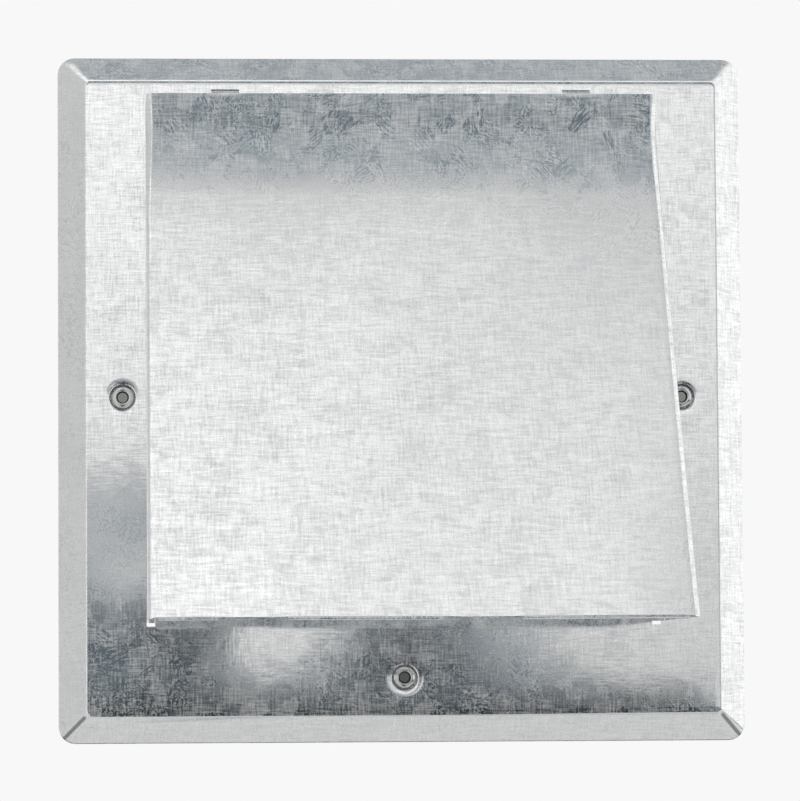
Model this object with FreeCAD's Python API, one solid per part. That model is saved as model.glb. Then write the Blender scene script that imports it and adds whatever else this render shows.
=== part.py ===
import FreeCAD, Part
import math
import os

# Outer wall grille: a pressed face plate and a rain hood in thin galvanised sheet, with a round collar for the
# wall duct behind it.  Millimetres.  X to the right, Z up, Y into the wall.  The wall plane is Y = 0 and the
# origin lies on the duct's axis.

# Duct and collar
duct_diameter = 160.0
collar_clearance = 0.5
collar_sheet = 0.6
collar_reach = 50.0
collar_lip_gap = 0.4
bead_place = 2.0
bead_width = 3.0
bead_crest = 1.0
bead_height = 1.2

# Bird mesh and its seat
wire_diameter = 1.0
wire_flats = 8
wire_pitch = 12.7
mesh_edge_clearance = 0.6
seat_width = 3.1
opening_ledge = 2.9

# Clamp ring, rivets and wall seal
ring_land = 10.9
ring_bore_clearance = 0.5
rivet_count = 4
first_rivet_angle = 45.0
rivet_shank_diameter = 3.2
rivet_hole_clearance = 0.05
rivet_head_diameter = 6.5
rivet_head_flat = 3.6
rivet_head_height = 1.1
rivet_bulb_diameter = 4.8
rivet_bulb_length = 3.5
mandrel_diameter = 1.9
mandrel_recess = 1.6
mandrel_head_diameter = 3.0
mandrel_head_length = 1.4
seal_clearance = 0.5
seal_pocket_clearance = 0.4

# Sheet of the plate and the hood
sheet = 0.7

# Face plate
skirt_depth = 3.0
rim_run = 10.0
rim_rise = 10.0
plate_corner_radius = 6.2
face_corner_radius = 2.0
rim_edge_bend = 1.5
face_edge_bend = 2.5
screw_margin = 13.5

# Screws, their dimples and retainers
screw_count = 4
screw_gap_to_ring = 8.0
screw_diameter = 4.8
screw_neck_diameter = 5.2
screw_neck_run = 0.5
screw_hole_clearance = 0.15
screw_head_diameter = 8.2
screw_head_height = 2.1
screw_crown = 0.7
recess_across_flats = 4.0
recess_depth = 1.5
screw_reach = 26.0
screw_tip_length = 6.0
dimple_depth = 2.4
dimple_floor_diameter = 9.2
dimple_flare = 0.6
dimple_land = 1.0
retainer_diameter = 11.0
retainer_thickness = 1.0
retainer_clearance = 0.05

# Hood
hood_side_gap = 8.5
hood_top_margin = 4.5
hood_cover = 5.5
hood_depth = 100.0
hood_lip = 4.0
hood_arc_radius = 43.0
hood_fold_radius = 2.0
hood_gap = 0.15
lip_corner = 1.2
hem_height = 8.0
hem_end_gap = 2.0

# Top tabs, on which the hood hangs and swings
swing_limit = 45.0
top_tab_spacing = 128.0
top_tab_width = 10.2
tab_side_clearance = 0.6
tab_rise_margin = 0.04
neck_seat_gap = 0.03
slot_top_clearance = 0.05
hook_gap = 0.4
hook_height = 2.6

# Cheek tabs
cheek_tab_length = 9.4
cheek_slot_below = 1.3
cheek_slot_above = 0.7
cheek_slot_outer = 0.7
cheek_foot = 2.2
cheek_foot_clearance = 0.3

# How far a cutting form runs past what it cuts
cut_margin = 1.0

# Worked out from the sizes above
face_y = -(skirt_depth + rim_rise)
back_y = face_y + sheet
collar_radius = duct_diameter / 2 - collar_clearance
bore_radius = collar_radius - collar_sheet
opening_radius = bore_radius - opening_ledge
pocket_radius = collar_radius + seat_width
step_radius = pocket_radius + collar_sheet
ring_radius = pocket_radius + ring_land
lip_front_y = back_y + 2 * wire_diameter
lip_back_y = lip_front_y + collar_sheet
land_back_y = back_y + collar_sheet
rivet_circle_radius = (step_radius + ring_radius) / 2
screw_circle_radius = ring_radius + screw_gap_to_ring
face_half = screw_circle_radius + screw_margin
plate_half = face_half + rim_run
hood_half = screw_circle_radius - hood_side_gap
hood_top = face_half - hood_top_margin
hood_foot = -(opening_radius + hood_cover)
hood_rear_y = face_y - hood_gap
hood_lip_y = hood_rear_y - sheet
lip_end = hood_top - hood_lip

swing = math.radians(swing_limit)
neck_depth = sheet + hood_gap
tab_rise = max(0.0, (sheet - neck_depth * math.cos(swing)) / math.sin(swing)) + tab_rise_margin
neck_foot = hood_top + tab_rise
top_slot_foot = neck_foot - neck_seat_gap
top_slot_top = neck_foot + neck_depth * math.sin(swing) + sheet + slot_top_clearance

screw_seat_y = face_y + dimple_depth
retainer_front_y = screw_seat_y + sheet
retainer_back_y = retainer_front_y + retainer_thickness


def at(x, y, z):
    return FreeCAD.Vector(x, y, z)


def rounded(corners):
    """A closed wire through corners given as (point, radius): straight runs joined by tangent arcs."""
    edges = []
    ends = []
    count = len(corners)
    for i, (point, radius) in enumerate(corners):
        before = (corners[i - 1][0] - point).normalize()
        after = (corners[(i + 1) % count][0] - point).normalize()
        if radius <= 0:
            ends.append((point, point, None))
            continue
        half = before.getAngle(after) / 2
        setback = radius / math.tan(half)
        middle = (before + after).normalize()
        crown = point + middle * (radius / math.sin(half) - radius)
        ends.append((point + before * setback, point + after * setback, crown))
    for i, (start, end, crown) in enumerate(ends):
        if crown is not None:
            edges.append(Part.Arc(start, crown, end).toShape())
        following = ends[(i + 1) % count][0]
        if end.distanceToPoint(following) > 1e-6:
            edges.append(Part.LineSegment(end, following).toShape())
    return Part.Wire(edges)


def turned(corners, centre_x=0.0, centre_z=0.0):
    """Turn a profile of (radius, y, corner radius) about an axis along Y."""
    wire = rounded([(at(r, y, 0), bend) for r, y, bend in corners])
    solid = Part.Face(wire).revolve(at(0, 0, 0), at(0, 1, 0), 360)
    solid.translate(at(centre_x, 0, centre_z))
    return solid


def square(half, corner_radius, y):
    points = [at(-half, y, -half), at(half, y, -half), at(half, y, half), at(-half, y, half)]
    return rounded([(point, corner_radius) for point in points])


def block(x0, x1, y0, y1, z0, z1):
    return Part.makeBox(x1 - x0, y1 - y0, z1 - z0, at(x0, y0, z0))


def disc(radius, y0, y1, x=0.0, z=0.0):
    return Part.makeCylinder(radius, y1 - y0, at(x, y0, z), at(0, 1, 0))


def on_circle(count, radius, first_angle):
    angles = [math.radians(first_angle + 360.0 * i / count) for i in range(count)]
    return [(radius * math.cos(a), radius * math.sin(a)) for a in angles]


screw_places = on_circle(screw_count, screw_circle_radius, 0)
rivet_places = on_circle(rivet_count, rivet_circle_radius, first_rivet_angle)


# Face plate

def pan(outer_half, outer_corner, bend_y, inner_half, inner_corner, top_y, edge_bend, face_bend):
    """A shallow square tray standing on the wall plane: an upright skirt, a sloping rim and a flat face."""
    skirt = Part.Face(square(outer_half, outer_corner, bend_y)).extrude(at(0, -bend_y, 0))
    outer = square(outer_half, outer_corner, bend_y)
    inner = square(inner_half, inner_corner, top_y)
    tray = skirt.fuse(Part.makeLoft([outer, inner], True, True)).removeSplitter()

    def edges_at(y):
        found = []
        for edge in tray.Edges:
            box = edge.BoundBox
            if abs(box.YMin - y) < 1e-4 and abs(box.YMax - y) < 1e-4:
                found.append(edge)
        return found

    tray = tray.makeFillet(face_bend, edges_at(top_y))
    return tray.makeFillet(edge_bend, edges_at(bend_y))


def dimple(x, z):
    """The dished seat pressed into the face round a screw hole, with the flat land that joins it to the face."""
    hole = screw_neck_diameter / 2 + screw_hole_clearance
    floor = dimple_floor_diameter / 2
    mouth = floor + dimple_flare
    land = mouth + dimple_land
    wall_shift = sheet * math.tan(math.atan2(dimple_depth, dimple_flare) / 2)
    return turned([
        (hole, screw_seat_y, 0),
        (floor, screw_seat_y, 0),
        (mouth, face_y, 0),
        (land, face_y, 0),
        (land, back_y, 0),
        (mouth + wall_shift, back_y, 0),
        (floor + wall_shift, screw_seat_y + sheet, 0),
        (hole, screw_seat_y + sheet, 0),
    ], x, z)


def top_slots():
    half = top_tab_width / 2 + tab_side_clearance
    cuts = []
    for side in (-1, 1):
        middle = side * top_tab_spacing / 2
        cuts.append(block(middle - half, middle + half, face_y - cut_margin, back_y + cut_margin,
                          top_slot_foot, top_slot_top))
    return cuts


def cheek_slots():
    inner = hood_half - sheet - cheek_foot - cheek_foot_clearance
    outer = hood_half + cheek_slot_outer
    foot = hood_foot - cheek_slot_below
    top = hood_foot + cheek_tab_length + cheek_slot_above
    return [block(min(side * inner, side * outer), max(side * inner, side * outer),
                  face_y - cut_margin, back_y + cut_margin, foot, top) for side in (-1, 1)]


def face_plate():
    edge_turn = math.atan2(rim_run, rim_rise)
    face_turn = math.atan2(rim_rise, rim_run)
    bend_y = -skirt_depth
    face_shift = sheet * math.tan(face_turn / 2)
    outside = pan(plate_half, plate_corner_radius, bend_y, face_half, face_corner_radius, face_y,
                  rim_edge_bend, face_edge_bend)
    inside = pan(plate_half - sheet, plate_corner_radius - sheet, bend_y + sheet * math.tan(edge_turn / 2),
                 face_half - face_shift, face_corner_radius - face_shift, back_y,
                 rim_edge_bend - sheet, face_edge_bend - sheet)
    plate = outside.cut(inside)
    land = dimple_floor_diameter / 2 + dimple_flare + dimple_land
    cuts = [disc(opening_radius, face_y - cut_margin, back_y + cut_margin)]
    cuts += [disc(land, face_y - cut_margin, back_y + cut_margin, x, z) for x, z in screw_places]
    rivet_hole = rivet_shank_diameter / 2 + rivet_hole_clearance
    cuts += [disc(rivet_hole, face_y - cut_margin, back_y + cut_margin, x, z) for x, z in rivet_places]
    plate = plate.cut(cuts + top_slots() + cheek_slots())
    return plate.fuse([dimple(x, z) for x, z in screw_places]).removeSplitter()


# Hood

def hood_body(inset):
    """The hood's outer form, or with an inset the hollow inside it: its side outline drawn across its width.
    The form runs on behind the plate, so that its folds stay whole down to the sheet's top lip."""
    behind = face_y + 4 * hood_fold_radius
    centre_y = hood_lip_y - hood_arc_radius
    foot_y = face_y - hood_depth
    reach = math.hypot(foot_y - centre_y, hood_foot - lip_end)
    slope_length = math.sqrt(reach ** 2 - hood_arc_radius ** 2)
    slope = math.atan2(lip_end - hood_foot, foot_y - centre_y) - math.atan2(slope_length, hood_arc_radius)
    radius = hood_arc_radius + inset

    def on_arc(angle):
        return at(0, centre_y + radius * math.cos(angle), lip_end - radius * math.sin(angle))

    start = on_arc(0)
    tangent_point = on_arc(slope)
    run_on = slope_length + inset * math.tan(slope)
    if inset:
        run_on += cut_margin
    end = tangent_point + at(0, -math.sin(slope), -math.cos(slope)) * run_on
    curved = [Part.Arc(start, on_arc(slope / 2), tangent_point).toShape(),
              Part.LineSegment(tangent_point, end).toShape()]
    top = start if inset else at(0, hood_lip_y, hood_top)
    lip = [] if inset else [Part.LineSegment(top, start).toShape()]
    rear_foot = at(0, behind, end.z)
    rear_top = at(0, behind, top.z)
    closing = [Part.LineSegment(end, rear_foot).toShape(),
               Part.LineSegment(rear_foot, rear_top).toShape(),
               Part.LineSegment(rear_top, top).toShape()]
    side = Part.Face(Part.Wire(lip + curved + closing))
    half = hood_half - inset
    side.translate(at(-half, 0, 0))
    body = side.extrude(at(2 * half, 0, 0))
    folds = []
    for edge in body.Edges:
        box = edge.BoundBox
        at_side = abs(abs(box.XMin) - half) < 1e-4 and box.XLength < 1e-4
        in_front = edge.CenterOfMass.y < hood_rear_y + inset and box.ZLength > 1e-3
        runs_back = box.ZLength < 1e-3 or abs(box.YMax - behind) < 1e-4
        if at_side and in_front and not runs_back:
            folds.append(edge)
    return body.makeFillet(hood_fold_radius - inset, folds), slope, end


def hem(slope, foot):
    """The front sheet's lower edge turned up flat inside the hood, as a second layer of the sheet."""
    half = hood_half - sheet - hem_end_gap
    along = at(0, math.sin(slope), math.cos(slope))
    inward = at(0, math.cos(slope), -math.sin(slope))
    sunk = sheet / 2
    thickness = sunk + sheet
    outer = foot + inward * (sheet - sunk)
    corner = outer + along * ((hood_foot - outer.z) / along.z)
    outer_top = corner + along * (hem_height / math.cos(slope))
    inner_top = outer_top + inward * thickness
    inner_foot = at(0, corner.y + thickness / math.cos(slope), hood_foot)
    wire = rounded([(corner, 0), (outer_top, 0), (inner_top, sheet / 2), (inner_foot, sheet / 2)])
    strip = Part.Face(wire)
    strip.translate(at(-half, 0, 0))
    return strip.extrude(at(2 * half, 0, 0))


def top_tab(middle):
    """A tab that turns back over the slot's lower edge and then up behind the plate."""
    hook_y = back_y + hook_gap
    neck_top = neck_foot + sheet
    hook_top = neck_top + hook_height
    wire = rounded([
        (at(0, hood_lip_y, lip_end), 0),
        (at(0, hood_lip_y, neck_top), sheet),
        (at(0, hook_y, neck_top), hook_gap / 2),
        (at(0, hook_y, hook_top), sheet / 3),
        (at(0, hook_y + sheet, hook_top), sheet / 3),
        (at(0, hook_y + sheet, neck_foot), sheet),
        (at(0, hood_rear_y, neck_foot), 0),
        (at(0, hood_rear_y, lip_end), 0),
    ])
    profile = Part.Face(wire)
    profile.translate(at(middle - top_tab_width / 2, 0, 0))
    return profile.extrude(at(top_tab_width, 0, 0))


def cheek_tab(side):
    """A tab that goes straight back through its slot and turns inwards behind the plate."""
    outer = hood_half
    inner = outer - sheet
    toe = inner - cheek_foot
    root_y = hood_rear_y - sheet
    foot_y = back_y + hook_gap
    corners = [
        (outer, root_y, 0),
        (outer, foot_y + sheet, sheet),
        (toe, foot_y + sheet, sheet / 3),
        (toe, foot_y, sheet / 3),
        (inner, foot_y, hook_gap / 2),
        (inner, root_y, 0),
    ]
    wire = rounded([(at(side * x, y, hood_foot), bend) for x, y, bend in corners])
    return Part.Face(wire).extrude(at(0, 0, cheek_tab_length))


def hood():
    outside, slope, foot = hood_body(0)
    hollow, _, _ = hood_body(sheet)
    wide = 2 * plate_half
    rear_trim = block(-wide, wide, hood_rear_y, wide, -wide, wide)
    sheet_form = outside.cut([hollow, rear_trim])
    corners = []
    for side in (-1, 1):
        points = [at(side * (hood_half - lip_corner), 0, hood_top), at(side * hood_half, 0, lip_end),
                  at(side * (hood_half + cut_margin), 0, lip_end),
                  at(side * (hood_half + cut_margin), 0, hood_top)]
        wedge = Part.Face(Part.makePolygon(points + points[:1]))
        wedge.translate(at(0, hood_lip_y - cut_margin, 0))
        corners.append(wedge.extrude(at(0, 2 * cut_margin + sheet, 0)))
    sheet_form = sheet_form.cut(corners)
    tabs = [top_tab(side * top_tab_spacing / 2) for side in (-1, 1)]
    tabs += [cheek_tab(side) for side in (-1, 1)]
    return sheet_form.fuse(tabs + [hem(slope, foot)]).removeSplitter()


# Parts behind the plate

def duct_collar():
    """The tube for the duct, with an out-turned lip in front and the bead that stops the duct."""
    lip = pocket_radius - collar_lip_gap
    bead_start = bead_place - bead_width / 2
    crest_start = bead_place - bead_crest / 2
    crest_end = bead_place + bead_crest / 2
    bead_end = bead_place + bead_width / 2
    return turned([
        (lip, lip_front_y, 0),
        (bore_radius, lip_front_y, 0),
        (bore_radius, bead_start, 0),
        (bore_radius + bead_height, crest_start, 0),
        (bore_radius + bead_height, crest_end, 0),
        (bore_radius, bead_end, 0),
        (bore_radius, collar_reach, 0),
        (collar_radius, collar_reach, 0),
        (collar_radius, bead_end, 0),
        (collar_radius + bead_height, crest_end, 0),
        (collar_radius + bead_height, crest_start, 0),
        (collar_radius, bead_start, 0),
        (collar_radius, lip_back_y, 0),
        (lip, lip_back_y, 0),
    ])


def clamp_ring():
    """A stepped ring: its land lies on the plate's back, and its step clamps the mesh and the collar's lip."""
    bore = collar_radius + ring_bore_clearance
    seat_back_y = lip_back_y + collar_sheet
    ring = turned([
        (ring_radius, back_y, 0),
        (pocket_radius, back_y, 0),
        (pocket_radius, lip_back_y, 0),
        (bore, lip_back_y, 0),
        (bore, seat_back_y, 0),
        (step_radius, seat_back_y, 0),
        (step_radius, land_back_y, 0),
        (ring_radius, land_back_y, 0),
    ])
    hole = rivet_shank_diameter / 2 + rivet_hole_clearance
    return ring.cut([disc(hole, back_y - cut_margin, land_back_y + cut_margin, x, z)
                     for x, z in rivet_places])


def blind_rivet(x, z):
    shank = rivet_shank_diameter / 2
    bore = mandrel_diameter / 2
    head = rivet_head_diameter / 2
    bulb = rivet_bulb_diameter / 2
    head_top = face_y - rivet_head_height
    bulb_end = land_back_y + rivet_bulb_length
    return turned([
        (bore, bulb_end, 0),
        (bore, head_top, 0),
        (rivet_head_flat / 2, head_top, 0),
        (head, face_y, 0),
        (shank, face_y, 0),
        (shank, land_back_y, 0),
        (bulb, land_back_y, 0),
        (bulb, bulb_end, 0),
    ], x, z)


def mandrel(x, z):
    """The stub of the pulling pin that stays in a set rivet, its head drawn up against the blind end."""
    pin = mandrel_diameter / 2
    broken_end = face_y - rivet_head_height + mandrel_recess
    seat = land_back_y + rivet_bulb_length
    return turned([
        (0, broken_end, 0),
        (pin, broken_end, 0),
        (pin, seat, 0),
        (mandrel_head_diameter / 2, seat, 0),
        (pin, seat + mandrel_head_length, 0),
        (0, seat + mandrel_head_length, 0),
    ], x, z)


def collar_rivets():
    return Part.makeCompound([blind_rivet(x, z) for x, z in rivet_places])


def rivet_mandrels():
    return Part.makeCompound([mandrel(x, z) for x, z in rivet_places])


def mesh_wires(upright):
    """One layer of the welded mesh, cut round.  Each wire has flats, and one of them lies on the other layer."""
    outer = pocket_radius - mesh_edge_clearance
    wire_radius = wire_diameter / 2
    layer_y = back_y + (wire_radius if upright else 3 * wire_radius)
    pairs = int((outer - 2 * wire_diameter) / wire_pitch + 0.5)
    section = on_circle(wire_flats, wire_radius / math.cos(math.pi / wire_flats), 180 / wire_flats)
    wires = []
    for i in range(-pairs, pairs):
        offset = (i + 0.5) * wire_pitch
        half = math.sqrt(outer ** 2 - (abs(offset) + wire_radius) ** 2)
        if upright:
            points = [at(offset + across, layer_y + deep, -half) for across, deep in section]
            along = at(0, 0, 2 * half)
        else:
            points = [at(-half, layer_y + deep, offset + across) for across, deep in section]
            along = at(2 * half, 0, 0)
        wires.append(Part.Face(Part.makePolygon(points + points[:1])).extrude(along))
    return Part.makeCompound(wires)


def wall_seal():
    """A foam ring between the clamp ring and the wall, with a pocket over each rivet's blind end."""
    inner = step_radius + seal_clearance
    outer = ring_radius - seal_clearance
    front = land_back_y - cut_margin
    ring = disc(outer, land_back_y, 0).cut(disc(inner, front, cut_margin))
    pocket = rivet_bulb_diameter / 2 + seal_pocket_clearance
    deep = land_back_y + rivet_bulb_length + mandrel_head_length + seal_pocket_clearance
    return ring.cut([disc(pocket, front, deep, x, z) for x, z in rivet_places])


# Screws

def screw(x, z):
    """A pan head wall screw with a hexagon recess, sunk in its dimple.  Its neck carries the retainer, and the
    thread behind that is left plain."""
    head = screw_head_diameter / 2
    neck = screw_neck_diameter / 2
    shank = screw_diameter / 2
    neck_end = retainer_back_y + screw_neck_run
    head_top = screw_seat_y - screw_head_height
    body = turned([
        (0, head_top, 0),
        (head - screw_crown, head_top, 0),
        (head, head_top + screw_crown, 0),
        (head, screw_seat_y, 0),
        (neck, screw_seat_y, 0),
        (neck, neck_end, 0),
        (shank, neck_end, 0),
        (shank, screw_reach - screw_tip_length, 0),
        (0, screw_reach, 0),
    ], x, z)
    corners = on_circle(6, recess_across_flats / math.sqrt(3), 0)
    points = [at(x + dx, head_top - cut_margin, z + dz) for dx, dz in corners]
    recess = Part.Face(Part.makePolygon(points + points[:1])).extrude(at(0, cut_margin + recess_depth, 0))
    return body.cut(recess)


def fixing_screws():
    return Part.makeCompound([screw(x, z) for x, z in screw_places])


def screw_retainers():
    """The nylon ring pushed on each screw's neck behind the plate, which keeps the screw in its hole."""
    bore = screw_neck_diameter / 2 + retainer_clearance
    rings = []
    for x, z in screw_places:
        ring = disc(retainer_diameter / 2, retainer_front_y, retainer_back_y, x, z)
        rings.append(ring.cut(disc(bore, retainer_front_y, retainer_back_y, x, z)))
    return Part.makeCompound(rings)


nodes = {
    "face_plate": face_plate(),
    "hood": hood(),
    "duct_collar": duct_collar(),
    "clamp_ring": clamp_ring(),
    "collar_rivets": collar_rivets(),
    "rivet_mandrels": rivet_mandrels(),
    "mesh_wires_upright": mesh_wires(True),
    "mesh_wires_across": mesh_wires(False),
    "wall_seal": wall_seal(),
    "fixing_screws": fixing_screws(),
    "screw_retainers": screw_retainers(),
}

os.makedirs("parts", exist_ok=True)
for name, shape in nodes.items():
    shape.exportStep("parts/" + name + ".step")
    box = shape.BoundBox
    print(name, "solids", len(shape.Solids), "valid", shape.isValid(), "volume %.1f" % shape.Volume,
          "x %.2f %.2f" % (box.XMin, box.XMax), "y %.2f %.2f" % (box.YMin, box.YMax),
          "z %.2f %.2f" % (box.ZMin, box.ZMax))
print("hood hinge at y %.3f z %.3f" % (back_y, neck_foot))
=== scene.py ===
"""Looks of a galvanised outer wall grille with a rain hood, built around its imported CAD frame.

X to the right, Z up, Y into the wall, origin on the duct's axis in the wall plane. Meshes are made in
millimetres and scaled to metres when a piece is finished. Profiles are (radius, y) points.
"""

import math

import bmesh
import bpy
from mathutils import Matrix, Vector


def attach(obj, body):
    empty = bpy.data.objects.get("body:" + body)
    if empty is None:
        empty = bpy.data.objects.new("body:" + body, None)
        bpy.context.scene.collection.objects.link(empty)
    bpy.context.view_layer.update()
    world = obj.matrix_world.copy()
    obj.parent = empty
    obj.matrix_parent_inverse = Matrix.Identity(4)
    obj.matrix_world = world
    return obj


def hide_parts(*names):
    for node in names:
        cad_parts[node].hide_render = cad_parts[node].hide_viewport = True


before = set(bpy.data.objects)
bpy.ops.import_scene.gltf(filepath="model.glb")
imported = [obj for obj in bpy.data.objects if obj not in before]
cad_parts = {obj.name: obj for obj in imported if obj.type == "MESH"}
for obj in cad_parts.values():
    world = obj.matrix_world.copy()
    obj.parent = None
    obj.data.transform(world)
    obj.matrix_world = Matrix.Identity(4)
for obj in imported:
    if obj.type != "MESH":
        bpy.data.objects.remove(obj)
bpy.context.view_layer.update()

# Face plate. The real one is a square of spangled galvanised sheet, pressed into a shallow tray: flat in the
# middle, a rim sloping at 45 degrees, and a short skirt that meets the wall. The round duct opening, the
# dimples for the screws and the slots for the hood's tabs are punched in the same sheet.

SHEET = 0.7
FACE_Y = -13.0
FACE_HALF = 115.0
FACE_CORNER = 2.0
FACE_BEND = 1.8
RIM_Y = -3.0
RIM_HALF = 125.0
RIM_CORNER = 6.2
RIM_BEND = 1.5
RIM_SLANT = math.pi / 4
SKIRT_MIDDLE_Y = -1.2
OPENING_RADIUS = 76.0
OPENING_LAND = 2.5
OPENING_PATCH = 81.0
SCREW_CIRCLE = 101.5
SCREW_HOLE = 2.75
DIMPLE_PATCH = 8.5
DIMPLE_REACH = 8.3
DIMPLE_SKIRT_RUN = 3.3
DIMPLE_SKIRT = 0.07
DIMPLE_MOUTH = 4.75
DIMPLE_MOUTH_DROP = 0.12
DIMPLE_FLOOR = 4.35
DIMPLE_DEPTH = 2.4
TOP_SLOT_X = (58.7, 69.3)
TOP_SLOT_Z = (110.65, 112.03)
CHEEK_SLOT_X = (89.95, 93.03)
CHEEK_SLOT_Z = (-82.8, -71.4)
PLATE_STEP = 6.0
WAVE_ACROSS = (0.015, 31, 1.3)
WAVE_UP = (0.03, 37, 2.9)
WAVE_FADE = 14
CREASE_SHIFT = (0.1, 0.15, 0.1)
CREASE_NEAR = 0.05
CREASE_END = 122.5
SHARP_ANGLE = 35
NEAR = 1e-3

GRAIN_SCALE = 165.0
GRAIN_BENDS = ((150.0, 0.006), (700.0, 0.0013))
GRAIN_TILT = 0.0014
PATCH_SCALE = 42.0
HATCH_SCALE = 1500.0
HATCH_STRETCH = 0.86
LINE_LENGTH = 150.0
LINE_WIDTH = 1500.0
LINE_TILT = 0.008
NEEDLE_GLOSS = 0.50
NEEDLE_SHADE = 0.34
ZINC_SHADE = 0.90
ZINC_ROUGHNESS = 0.05
ZINC_DARK = (0.58, 0.62, 0.65, 1)
ZINC_PALE = (0.985, 0.985, 0.985, 1)
# Colour of the painted shade along the plate's lower corner creases.
CREASE_PAINTED_SHADE = (0.12, 0.13, 0.13, 1)
MIDDLE_GREY = (0.5, 0.5, 0.5)


def grid_lines(half, step, extra):
    """Places from -half to half about step apart that include the extra ones."""
    fixed = sorted({round(v, 3) for v in extra if abs(v) < half} | {-half, half})
    lines = []
    for low, high in zip(fixed, fixed[1:]):
        count = max(1, round((high - low) / step))
        lines += [low + (high - low) * i / count for i in range(count)]
    return lines[1:]


def cut_grid(bm, axis, places):
    """Cut the whole mesh by planes across the axis at each place."""
    normal = Vector((0, 0, 0))
    normal[axis] = 1
    for place in places:
        bmesh.ops.bisect_plane(bm, geom=bm.verts[:] + bm.edges[:] + bm.faces[:], dist=1e-5,
                               plane_co=normal * place, plane_no=normal)


def faces_within(bm, x_range, z_range):
    found = []
    for face in bm.faces:
        centre = face.calc_center_median()
        if x_range[0] < centre.x < x_range[1] and z_range[0] < centre.z < z_range[1]:
            found.append(face)
    return found


def open_edges(bm, test):
    """The mesh's open edges whose ends both pass the test."""
    return [e for e in bm.edges if e.is_boundary and all(test(v.co) for v in e.verts)]


def extrude_loop(bm, edges, move):
    """Extrude an edge loop and put each new vertex where move() says. Returns the new edges."""
    made = bmesh.ops.extrude_edge_only(bm, edges=edges)["geom"]
    verts = {g for g in made if isinstance(g, bmesh.types.BMVert)}
    for vert in verts:
        vert.co = move(vert)
    return [g for g in made if isinstance(g, bmesh.types.BMEdge) and all(v in verts for v in g.verts)]


def finish_piece(bm, name, body, material, nodes, thickness=None):
    """Scale to metres, give the sheet its thickness, shade it and hand it to the frame."""
    bmesh.ops.scale(bm, vec=(0.001, 0.001, 0.001), verts=bm.verts)
    mesh = bpy.data.meshes.new(name)
    bm.to_mesh(mesh)
    bm.free()
    piece = bpy.data.objects.new(name, mesh)
    bpy.context.scene.collection.objects.link(piece)
    if thickness:
        wall = piece.modifiers.new("wall", "SOLIDIFY")
        wall.thickness = thickness * 0.001
        wall.offset = -1
        wall.use_even_offset = True
        wall.use_quality_normals = True
        graph = bpy.context.evaluated_depsgraph_get()
        mesh = bpy.data.meshes.new_from_object(piece.evaluated_get(graph))
        piece.modifiers.clear()
        piece.data = mesh
    mesh.polygons.foreach_set("use_smooth", [True] * len(mesh.polygons))
    mesh.set_sharp_from_angle(angle=math.radians(SHARP_ANGLE))
    mesh.materials.append(material)
    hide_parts(*nodes)
    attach(piece, body)


class Nodes:
    """A material's or a world's node tree, written as sums."""

    def __init__(self, owner):
        owner.use_nodes = True
        self.tree = owner.node_tree
        self.tree.nodes.clear()

    def add(self, kind, inputs=None, **settings):
        node = self.tree.nodes.new(kind)
        for key, value in settings.items():
            setattr(node, key, value)
        for key, value in (inputs or {}).items():
            self.put(node.inputs[key], value)
        return node

    def put(self, socket, value):
        if isinstance(value, bpy.types.NodeSocket):
            self.tree.links.new(value, socket)
        else:
            socket.default_value = value

    def surface(self, colour, **inputs):
        """The piece's own surface. Underscores in the names of its inputs stand for spaces."""
        named = {key.replace("_", " "): value for key, value in inputs.items()}
        shader = self.add("ShaderNodeBsdfPrincipled", {"Base Color": colour, **named})
        self.add("ShaderNodeOutputMaterial", {"Surface": shader.outputs[0]})

    def place(self):
        return self.add("ShaderNodeTexCoord").outputs["Object"]

    def math(self, operation, *values, clamp=False):
        node = self.add("ShaderNodeMath", operation=operation, use_clamp=clamp)
        for i, value in enumerate(values):
            self.put(node.inputs[i], value)
        return node.outputs[0]

    def product(self, *values):
        result = values[0]
        for value in values[1:]:
            result = self.math("MULTIPLY", result, value)
        return result

    def vector(self, operation, *values):
        node = self.add("ShaderNodeVectorMath", operation=operation)
        for i, value in enumerate(values):
            self.put(node.inputs["Scale" if operation == "SCALE" and i == 1 else i], value)
        return node.outputs["Value" if operation == "DOT_PRODUCT" else "Vector"]

    def ramp(self, factor, low, high, to_low=0.0, to_high=1.0, smooth=True):
        node = self.add("ShaderNodeMapRange", interpolation_type="SMOOTHSTEP" if smooth else "LINEAR")
        for key, value in {"Value": factor, "From Min": low, "From Max": high, "To Min": to_low,
                           "To Max": to_high}.items():
            self.put(node.inputs[key], value)
        return node.outputs["Result"]

    def mix(self, factor, a, b):
        node = self.add("ShaderNodeMix", data_type="FLOAT")
        self.put(node.inputs[0], factor)
        self.put(node.inputs[2], a)
        self.put(node.inputs[3], b)
        return node.outputs[0]

    def mix_colour(self, factor, a, b):
        node = self.add("ShaderNodeMix", data_type="RGBA")
        self.put(node.inputs[0], factor)
        self.put(node.inputs[6], a)
        self.put(node.inputs[7], b)
        return node.outputs[2]

    def noise(self, at, scale, detail=2.0, roughness=0.5, colour=False):
        node = self.add("ShaderNodeTexNoise", {"Vector": at, "Scale": scale, "Detail": detail,
                                               "Roughness": roughness})
        return node.outputs["Color" if colour else "Fac"]


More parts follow.
